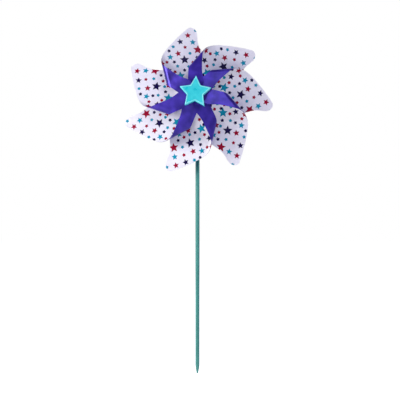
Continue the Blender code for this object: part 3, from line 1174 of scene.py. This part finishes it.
@dataclass
class Axle:
    """Everything turned about the axle, from the cap on the nail's tail to the washer under its head."""

    centre: Vector
    bore: float = 1.2 * MM
    core_bore: float = 1.3 * MM
    eye_bore: float = 3.3 * MM
    tube_radius: float = 3.0 * MM
    boss_radius: float = 3.6 * MM
    boss_foot: float = 4.5 * MM
    boss_flare: float = 1.0 * MM
    flange_thickness: float = 1.6 * MM
    flange_bevel: float = 1.2 * MM
    flange_edge: float = 0.35 * MM
    flange_gap: float = 0.3 * MM
    nail_radius: float = 0.9 * MM
    nail_point: float = 1.0 * MM
    nail_point_share: float = 0.4
    head_height: float = 0.8 * MM
    head_dome: float = 0.4 * MM
    head_dome_share: float = 0.55
    cap_wall: float = 0.35 * MM
    cap_dome: float = 0.9 * MM
    cap_dome_height: float = 1.2 * MM
    collar_height: float = 0.9 * MM
    collar_slope: float = 0.1 * MM
    nail_clearance: float = 0.3 * MM
    ring_round: float = 0.35 * MM
    bead_round: float = 0.4 * MM
    steel_round: float = 0.12 * MM

    def span(self, node: str) -> tuple[float, float, float]:
        """Measure a solid along the axle.

        Args:
            node: name of the solid.

        Returns:
            Its back and front heights in the wheel frame, and its radius.
        """
        low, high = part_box(node)
        return self.centre.y - high.y, self.centre.y - low.y, (high.x - low.x) / 2

    def ring(self, name: str, node: str, body: str, slot: str, inner: float, soft: float) -> TurnedPiece:
        """A washer or tube with softened edges.

        Args:
            name: name of the piece.
            node: solid that it stands for.
            body: body that it rides on.
            slot: finish in the record.
            inner: radius of its bore.
            soft: how far its edges are rounded.

        Returns:
            The piece.
        """
        back, front, outer = self.span(node)
        corners = [(inner, back, soft), (outer, back, soft), (outer, front, soft), (inner, front, soft)]
        return TurnedPiece(name, node, body, slot, corners)

    def core(self) -> TurnedPiece:
        """The hub's core, with the flange behind the vanes and the boss behind that.

        Returns:
            The piece.
        """
        back, front, flange = self.span("hub_core")
        flange_front = -(VANE_COUNT - 1) / 2 * EYE_PITCH - FILM / 2 - self.flange_gap
        flange_back = flange_front - self.flange_thickness
        corners = [
            (self.core_bore, back, 0.15 * MM),
            (self.boss_radius, back, 0.4 * MM),
            (self.boss_foot, flange_back - self.boss_flare, 0.5 * MM),
            (flange - self.flange_bevel, flange_back, 0.3 * MM),
            (flange, flange_back + self.flange_edge, 0.3 * MM),
            (flange, flange_front, 0.3 * MM),
            (self.tube_radius, flange_front, 0.0),
            (self.tube_radius, front, 0.3 * MM),
            (self.core_bore, front, 0.15 * MM),
        ]
        return TurnedPiece("hub_core_and_flange", "hub_core", "wheel", "hub_plastic", corners)

    def nail(self) -> TurnedPiece:
        """The nail, with its domed head to the front.

        Returns:
            The piece.
        """
        back, front, head = self.span("axle_nail")
        head_back = front - self.head_height
        corners = [
            (0.0, back, 0.0),
            (self.nail_point_share * self.nail_radius, back, 0.1 * MM),
            (self.nail_radius, back + self.nail_point, 0.3 * MM),
            (self.nail_radius, head_back, 0.0),
            (head, head_back, 0.1 * MM),
            (head, front - self.head_dome, 0.3 * MM),
            (self.head_dome_share * head, front, 0.3 * MM),
            (0.0, front, 0.0),
        ]
        return TurnedPiece("wire_nail", "axle_nail", "stick", "nail_steel", corners)

    def tail_cap(self) -> TurnedPiece:
        """The push-on cap over the nail's tail: a domed end and a small collar by the dowel.

        Returns:
            The piece.
        """
        back, front, outer = self.span("tail_cap")
        nail_end, _, _ = self.span("axle_nail")
        floor = nail_end - self.nail_clearance
        corners = [
            (0.0, back, 0.0),
            (outer - self.cap_dome, back, 0.7 * MM),
            (outer - self.cap_wall, back + self.cap_dome_height, 0.4 * MM),
            (outer - self.cap_wall, front - self.collar_height - self.collar_slope, 0.05 * MM),
            (outer, front - self.collar_height, 0.1 * MM),
            (outer, front, 0.2 * MM),
            (self.bore, front, 0.15 * MM),
            (self.bore, floor, 0.0),
            (0.0, floor, 0.0),
        ]
        return TurnedPiece("nail_tail_cap", "tail_cap", "stick", "natural_plastic", corners)

    def build(self) -> list[bpy.types.Object]:
        """Build and dress every turned piece.

        Returns:
            The pieces.
        """
        finishes = {
            "hub_plastic": MouldedPlastic(
                "violet polypropylene, moulded", "#3A2A93", "#4635A8",
                roughness_low=0.34, roughness_high=0.46, ior=1.49).make(),
            "natural_plastic": MouldedPlastic(
                "natural polyethylene, moulded", "#E2E0D6", "#EFEDE4",
                roughness_low=0.36, roughness_high=0.46, ior=1.51, see_into=0.35).make(),
            "nail_steel": DrawnSteel().make(),
        }
        pieces = (
            self.core(),
            self.ring("eye_sleeve", "hub_sleeve", "wheel", "hub_plastic", self.eye_bore, self.ring_round),
            self.ring("eye_washer", "front_washer", "wheel", "hub_plastic", self.eye_bore, self.ring_round),
            self.ring("dowel_spacer", "rear_spacer", "stick", "natural_plastic", self.bore,
                      self.bead_round),
            self.tail_cap(),
            self.nail(),
            self.ring("nail_head_washer", "head_washer", "stick", "nail_steel", self.bore,
                      self.steel_round),
        )
        return [piece.build(self.centre, finishes[piece.slot]) for piece in pieces]


@dataclass
class Dowel:
    """The painted stick: a dowel with a rounded top, a drilled hole for the nail and a blunt stake tip."""

    centre: Vector
    taper: float = 10.0 * MM
    tip_radius: float = 1.0 * MM
    tip_round: float = 0.4 * MM
    taper_round: float = 1.6 * MM
    top_round: float = 0.9 * MM
    hole_radius: float = 1.2 * MM

    def build(self) -> bpy.types.Object:
        """Turn the dowel, drill it, and set it on the stick's body in place of its solid.

        Returns:
            The dowel.
        """
        low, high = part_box("stick")
        radius = (high.x - low.x) / 2
        corners = [
            (0.0, 0.0, 0.0),
            (self.tip_radius, 0.0, self.tip_round),
            (radius, self.taper, self.taper_round),
            (radius, high.z, self.top_round),
            (0.0, high.z, 0.0),
        ]
        mesh = lathe("painted_dowel", rounded(corners, steps=6), segments=48)
        obj = put("painted_dowel", mesh, Matrix.Identity(4), PaintedBirch().make())
        hole_place = wheel_place(Vector((0.0, 0.0, self.centre.z)))
        bore(obj, hole_place, self.hole_radius, -2 * radius, 2 * radius, segments=32)
        return mount(obj, "stick", "stick")


# ---------------------------------------------------------------- studio


@dataclass
class Softbox:
    """One square studio light."""

    name: str
    place: tuple[float, float, float]
    width: float
    watts: float
    colour: str

    def build(self, target: Vector) -> None:
        """Hang the light and point it.

        Args:
            target: where it points.
        """
        lamp = bpy.data.lights.new(self.name, "AREA")
        lamp.shape = "SQUARE"
        lamp.size = self.width
        lamp.energy = self.watts
        lamp.color = linear(self.colour)[:3]
        obj = bpy.data.objects.new(self.name, lamp)
        bpy.context.scene.collection.objects.link(obj)
        obj.location = self.place
        obj.rotation_euler = (target - Vector(self.place)).to_track_quat("-Z", "Y").to_euler()


@dataclass
class Studio:
    """Pale floor, soft lights with the strongest from the left, and the camera."""

    camera_place: Vector = field(default_factory=lambda: Vector((0.0348, -0.700, 0.1951)))
    camera_target: Vector = field(default_factory=lambda: Vector((0.0034, 0.0, 0.2310)))
    light_target: Vector = field(default_factory=lambda: Vector((0.0, -0.03, 0.36)))
    focal_length: float = 46.6
    sensor_width: float = 36.0
    near_clip: float = 0.01
    floor_size: float = 12.0
    floor_gap: float = 0.2 * MM
    floor_colour: str = "#F7F7F9"
    floor_glow: float = 1.0
    floor_light: float = 0.32
    ambient: float = 0.14
    ambient_colour: str = "#D2D4F4"

    def build(self) -> None:
        """Lay the floor, hang the lights and set the camera."""
        self.build_floor()
        self.build_world()
        lights = (
            Softbox("key_light", (-1.00, -0.46, 0.58), 0.50, 9.8, "#FFFEFC"),
            Softbox("front_light", (0.42, -0.98, 1.16), 0.75, 6.3, "#EAEAFF"),
            Softbox("back_light", (0.60, 0.90, 0.90), 0.80, 4.0, WHITE),
        )
        for light in lights:
            light.build(self.light_target)
        self.build_camera()

    def build_floor(self) -> None:
        """Lay the floor, a breath under the dowel's tip."""
        bm = bmesh.new()
        bmesh.ops.create_grid(bm, x_segments=1, y_segments=1, size=self.floor_size / 2)
        mesh = bpy.data.meshes.new("studio_floor")
        bm.to_mesh(mesh)
        bm.free()
        # Matt paper has no gloss. It looks white to the camera, and throws back a dimmer light.
        paper = Coat("white paper backdrop, matt")
        seen = add_node(paper.tree, "ShaderNodeLightPath").outputs["Is Camera Ray"]
        glow = paper.blend(seen, self.floor_glow - self.floor_light, self.floor_light)
        colour = linear(self.floor_colour)
        set_inputs(paper.shader, {"Base Color": colour, "Roughness": 1.0, "Specular IOR Level": 0.0,
                                  "Emission Color": colour, "Emission Strength": glow})
        put("studio_floor", mesh, Matrix.Translation((0.0, 0.0, -self.floor_gap)), paper.material)

    def build_world(self) -> None:
        """Surround the scene with white, and light it a little dimmer than it looks."""
        world = bpy.data.worlds.new("studio")
        bpy.context.scene.world = world
        world.use_nodes = True
        tree = world.node_tree
        tree.nodes.clear()
        path = add_node(tree, "ShaderNodeLightPath")
        dim = add_node(tree, "ShaderNodeBackground", None,
                       {"Color": linear(self.ambient_colour), "Strength": self.ambient})
        white = add_node(tree, "ShaderNodeBackground", None, {"Color": linear(WHITE), "Strength": 1.0})
        mix = add_node(tree, "ShaderNodeMixShader", None,
                       {0: path.outputs["Is Camera Ray"], 1: dim.outputs[0], 2: white.outputs[0]})
        add_node(tree, "ShaderNodeOutputWorld", None, {0: mix.outputs[0]})
        bpy.context.scene.view_settings.view_transform = "Standard"

    def build_camera(self) -> None:
        """Set the camera."""
        lens = bpy.data.cameras.new("camera")
        lens.lens = self.focal_length
        lens.sensor_width = self.sensor_width
        lens.clip_start = self.near_clip
        obj = bpy.data.objects.new("camera", lens)
        bpy.context.scene.collection.objects.link(obj)
        obj.location = self.camera_place
        way = self.camera_target - self.camera_place
        obj.rotation_euler = way.to_track_quat("-Z", "Y").to_euler()
        bpy.context.scene.camera = obj


def wheel_centre(frame: dict) -> Vector:
    """Find the wheel frame's origin.

    Args:
        frame: the loaded frame.

    Returns:
        The place of the wheel's joint.
    """
    joint = next(joint for joint in frame["joints"] if joint["name"] == "wheel_spin")
    return Vector(joint["pos_m"])


def main() -> None:
    """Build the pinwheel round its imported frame."""
    logging.basicConfig(level=logging.INFO, format="%(name)s: %(message)s")
    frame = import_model()
    centre = wheel_centre(frame)
    Studio().build()
    Dowel(centre).build()
    Axle(centre).build()
    VaneWheel(centre).build()
    low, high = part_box("star_cap")
    StarCap(centre, centre.y - high.y, centre.y - low.y).build()
    LOG.info("finished")


if __name__ == "__main__":
    main()
